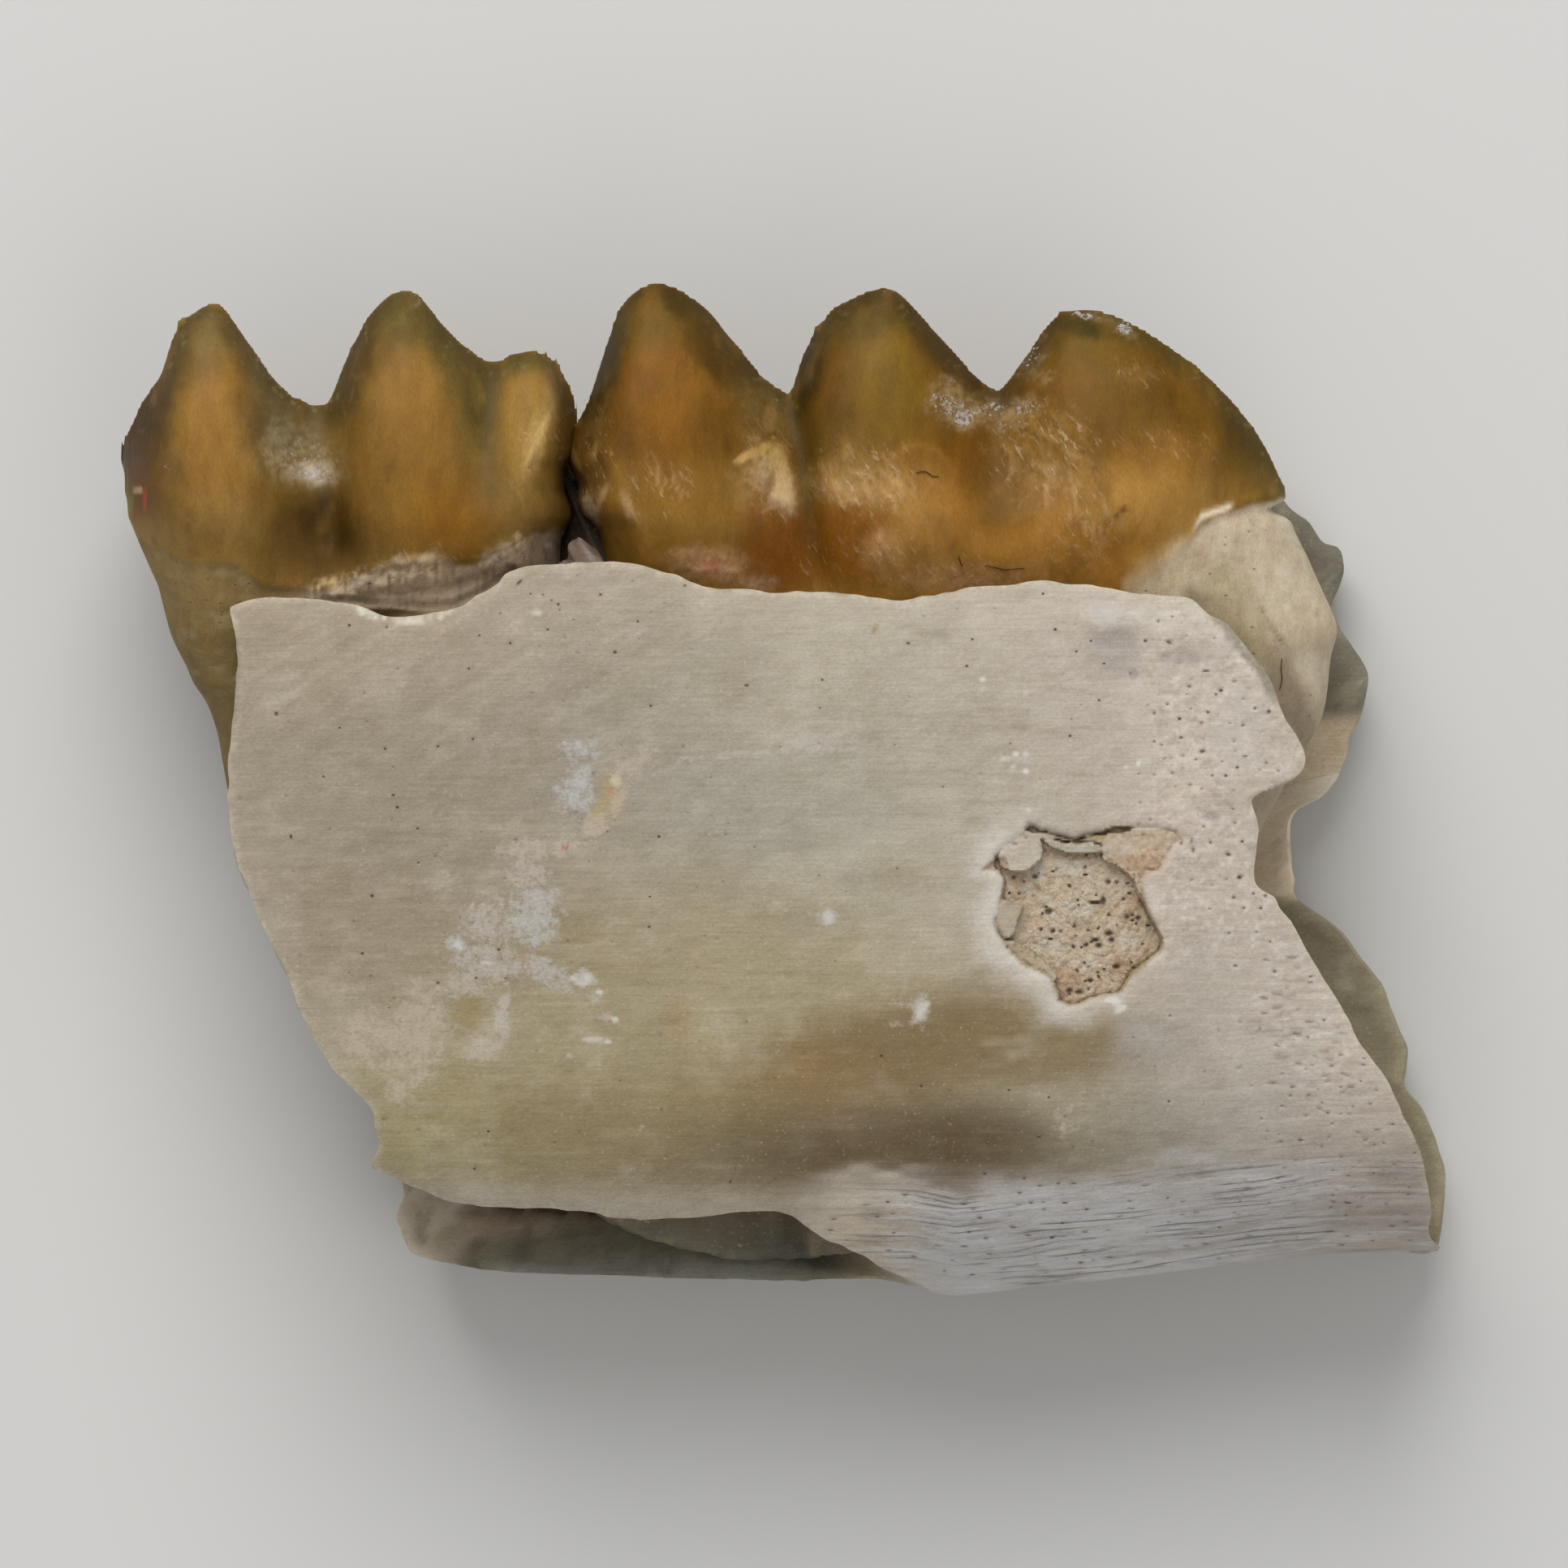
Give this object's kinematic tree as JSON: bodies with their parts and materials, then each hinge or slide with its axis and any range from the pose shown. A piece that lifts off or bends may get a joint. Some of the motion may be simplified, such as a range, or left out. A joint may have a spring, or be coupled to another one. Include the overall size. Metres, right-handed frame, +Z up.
{
  "type": "fossil leptomeryx jaw",
  "caption": "Broken section of a small fossil ruminant's lower jaw with amber-coloured molars and a sediment-filled window, lying on its side.",
  "frame": {"origin": "centre of the bounding box in X and Y, at the lowest face", "axes": "+X along the tooth row from the front molar to the rear one, +Y from the ventral border to the cusps, +Z up through the thickness of the jaw as it lies, away from the far wall"},
  "size_m": [0.0204, 0.0156, 0.0062],
  "materials": {
    "fossil_bone": "matte weathered bone with fine pores, olive-tan stains and chalky patches",
    "tooth_enamel": "glossy translucent amber enamel, cream at the roots",
    "sediment": "dull sandy tan matrix with dark pores"
  },
  "bodies": {
    "root": {"jaw_bone": "fossil_bone", "second_molar": "tooth_enamel", "third_molar": "tooth_enamel", "sediment_fill": "sediment"}
  },
  "joints": []
}
